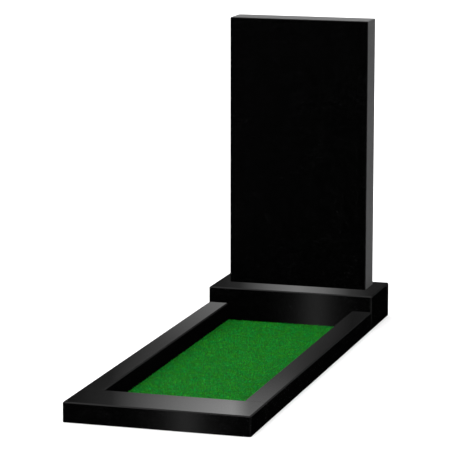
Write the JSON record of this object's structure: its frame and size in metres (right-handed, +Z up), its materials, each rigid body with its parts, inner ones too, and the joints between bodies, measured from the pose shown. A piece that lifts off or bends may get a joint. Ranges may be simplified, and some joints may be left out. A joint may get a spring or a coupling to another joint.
{
  "type": "upright headstone",
  "caption": "Plain rectangular black granite headstone on a plinth, with a low kerb in front that frames a grave bed laid with short artificial turf.",
  "frame": {"origin": "on the ground, in the middle of the footprint of plinth and kerb together", "axes": "+X to the right of someone facing the headstone's front, +Y from the foot of the grave to its head, +Z up"},
  "size_m": [0.5, 1.4656, 0.9003],
  "materials": {
    "headstone_granite": "polished",
    "polished_granite": "polished",
    "turf": "matte"
  },
  "bodies": {
    "root": {"headstone": "headstone_granite", "plinth": "polished_granite", "left_kerb": "polished_granite", "right_kerb": "polished_granite", "front_kerb": "polished_granite", "turf_mat": "turf"}
  },
  "joints": []
}
